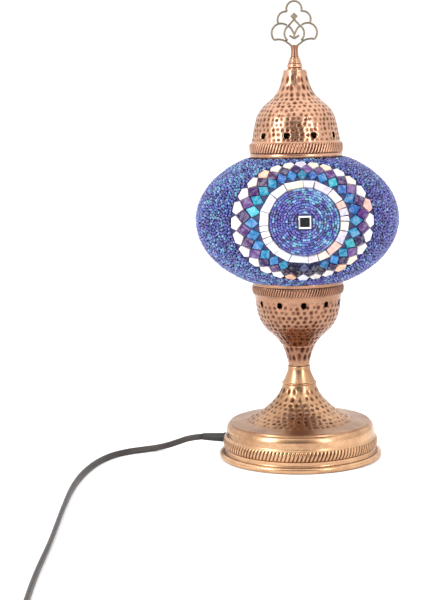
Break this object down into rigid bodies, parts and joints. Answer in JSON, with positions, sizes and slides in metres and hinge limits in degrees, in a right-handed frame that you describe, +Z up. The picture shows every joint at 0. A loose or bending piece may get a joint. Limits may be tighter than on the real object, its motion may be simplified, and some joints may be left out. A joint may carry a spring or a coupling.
{
  "type": "table lamp",
  "caption": "Table lamp with a hammered copper base and cup, a flattened globe of glass mosaic, a pierced lift-off cap with a wire finial, and a flat lead with switch and plug.",
  "frame": {"origin": "on the lamp's axis, on the surface that it stands on", "axes": "+Z up along the lamp's axis, -Y towards the front, where a medallion of the mosaic faces"},
  "size_m": [0.2683, 0.6382, 0.3848],
  "materials": {
    "antique_copper": "polished and antiqued, hammered",
    "antique_brass": "aged satin",
    "zinc_steel": "bright zinc",
    "nickel": "bright",
    "cast_weight": "rough, painted",
    "green_felt": "felt",
    "black_rubber": "matte",
    "cord_pvc": "satin",
    "black_plastic": "satin",
    "holder_plastic": "gloss",
    "steatite": "unglazed",
    "clear_glass": "clear, polished",
    "black_glass": "gloss",
    "solder": "dull",
    "grout": "matte",
    "blue_beads": "gloss",
    "mirror": "silvered",
    "white_glass": "pearl gloss",
    "teal_glass": "gloss",
    "purple_glass": "gloss"
  },
  "bodies": {
    "root": {"base_shell": "antique_copper", "cup_shell": "antique_copper", "terminal_screws": "antique_brass", "thread_shell": "antique_brass", "centre_contact": "antique_brass", "switch_contacts": "antique_brass", "threaded_tube": "zinc_steel", "tube_nuts": "zinc_steel", "tube_washers": "zinc_steel", "grip_screws": "zinc_steel", "switch_screws": "zinc_steel", "plug_pins": "nickel", "ballast_disc": "cast_weight", "felt_pad": "green_felt", "cord_bush": "black_rubber", "cord_tie": "black_rubber", "cord_run": "cord_pvc", "cord_link": "cord_pvc", "cord_coil": "cord_pvc", "cord_tail": "cord_pvc", "inner_lead": "cord_pvc", "core_wires": "cord_pvc", "plug_body": "black_plastic", "switch_base": "black_plastic", "switch_cover": "black_plastic", "cord_grip": "black_plastic", "holder_skirt": "holder_plastic", "holder_body": "holder_plastic", "holder_insert": "steatite", "glass_globe": "clear_glass", "mosaic_bed": "grout", "bedding_ring": "grout", "bead_field": "blue_beads", "bead_discs": "blue_beads", "mirror_tiles": "mirror", "inner_white_tiles": "white_glass", "outer_white_tiles": "white_glass", "teal_tiles": "teal_glass", "purple_tiles": "purple_glass"},
    "cap": {"dome_shell": "antique_copper", "spring_clips": "zinc_steel", "clip_rivets": "antique_brass", "finial_sleeve": "antique_copper", "finial_stem": "antique_copper", "finial_frame": "antique_brass", "finial_washer": "antique_brass", "finial_nut": "antique_brass"},
    "bulb": {"bulb_cap": "nickel", "bulb_insulator": "black_glass", "bulb_tip": "solder", "bulb_glass": "clear_glass", "bulb_stem": "clear_glass", "bulb_filament": "steatite"},
    "rocker": {"switch_rocker": "black_plastic"}
  },
  "joints": [
    {"name": "cap_lift", "type": "slide", "parent": "root", "child": "cap", "axis": [0, 0, 1], "range_m": [0, 0.06]},
    {"name": "bulb_turn", "type": "hinge", "parent": "root", "child": "bulb", "pos_m": [0, 0, 0.168], "axis": [0, 0, 1], "range_deg": [0, 1800]},
    {"name": "switch_rocker", "type": "hinge", "parent": "root", "child": "rocker", "pos_m": [-0.1609, -0.457, 0.0115], "axis": [0.9998, 0.0219, 0], "range_deg": [0, 14]}
  ]
}
